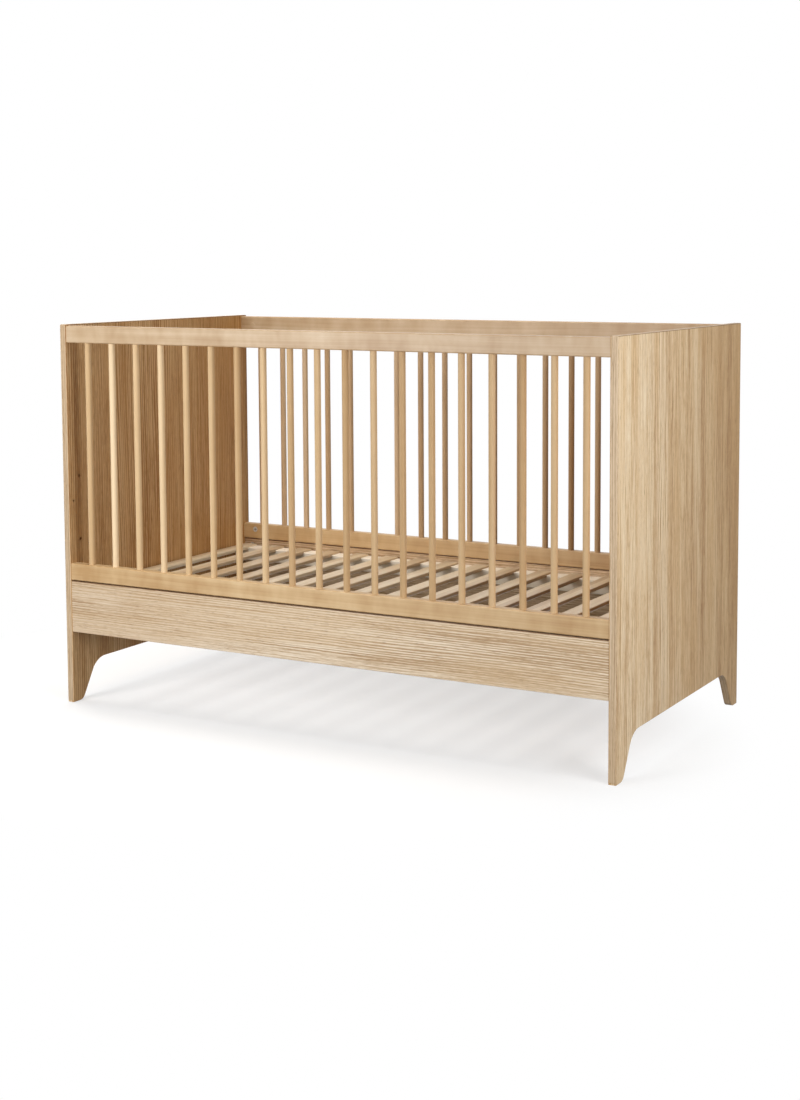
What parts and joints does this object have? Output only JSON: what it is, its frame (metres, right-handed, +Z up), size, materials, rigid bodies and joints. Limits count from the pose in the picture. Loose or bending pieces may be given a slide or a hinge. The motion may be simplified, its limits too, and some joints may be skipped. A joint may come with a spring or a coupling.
{
  "type": "baby crib",
  "caption": "Baby cot with oak-veneer end panels on tapered legs, round-spindle sides, front and back aprons, and a slatted base that sets at different heights.",
  "frame": {"origin": "on the floor, under the middle of the cot", "axes": "+Z up, +X along the length towards the right end panel, +Y from the front side to the back side"},
  "size_m": [1.454, 0.748, 0.925],
  "materials": {
    "oak_veneer": "matt lacquered oak veneer",
    "oiled_wood": "satin lacquered solid wood",
    "pale_wood": "bare planed softwood",
    "dowel_wood": "bare beech",
    "zinc_steel": "zinc plated"
  },
  "bodies": {
    "cot_frame": {"back_apron": "oak_veneer", "back_bottom_rail": "oiled_wood", "back_spindle_01": "oiled_wood", "back_spindle_02": "oiled_wood", "back_spindle_03": "oiled_wood", "back_spindle_04": "oiled_wood", "back_spindle_05": "oiled_wood", "back_spindle_06": "oiled_wood", "back_spindle_07": "oiled_wood", "back_spindle_08": "oiled_wood", "back_spindle_09": "oiled_wood", "back_spindle_10": "oiled_wood", "back_spindle_11": "oiled_wood", "back_spindle_12": "oiled_wood", "back_spindle_13": "oiled_wood", "back_spindle_14": "oiled_wood", "back_spindle_15": "oiled_wood", "back_spindle_16": "oiled_wood", "back_spindle_17": "oiled_wood", "back_spindle_18": "oiled_wood", "back_spindle_19": "oiled_wood", "back_top_rail": "oiled_wood", "cam_bolts": "zinc_steel", "cam_drums": "zinc_steel", "front_apron": "oak_veneer", "front_bottom_rail": "oiled_wood", "front_spindle_01": "oiled_wood", "front_spindle_02": "oiled_wood", "front_spindle_03": "oiled_wood", "front_spindle_04": "oiled_wood", "front_spindle_05": "oiled_wood", "front_spindle_06": "oiled_wood", "front_spindle_07": "oiled_wood", "front_spindle_08": "oiled_wood", "front_spindle_09": "oiled_wood", "front_spindle_10": "oiled_wood", "front_spindle_11": "oiled_wood", "front_spindle_12": "oiled_wood", "front_spindle_13": "oiled_wood", "front_spindle_14": "oiled_wood", "front_spindle_15": "oiled_wood", "front_spindle_16": "oiled_wood", "front_spindle_17": "oiled_wood", "front_spindle_18": "oiled_wood", "front_spindle_19": "oiled_wood", "front_top_rail": "oiled_wood", "left_end_panel": "oak_veneer", "right_end_panel": "oak_veneer", "support_pegs": "zinc_steel", "wooden_dowels": "dowel_wood"},
    "mattress_base": {"base_back_rail": "pale_wood", "base_front_rail": "pale_wood", "base_slats": "pale_wood"}
  },
  "joints": [
    {"name": "base_height", "type": "slide", "parent": "cot_frame", "child": "mattress_base", "axis": [0, 0, 1], "range_m": [0, 0.31]}
  ]
}
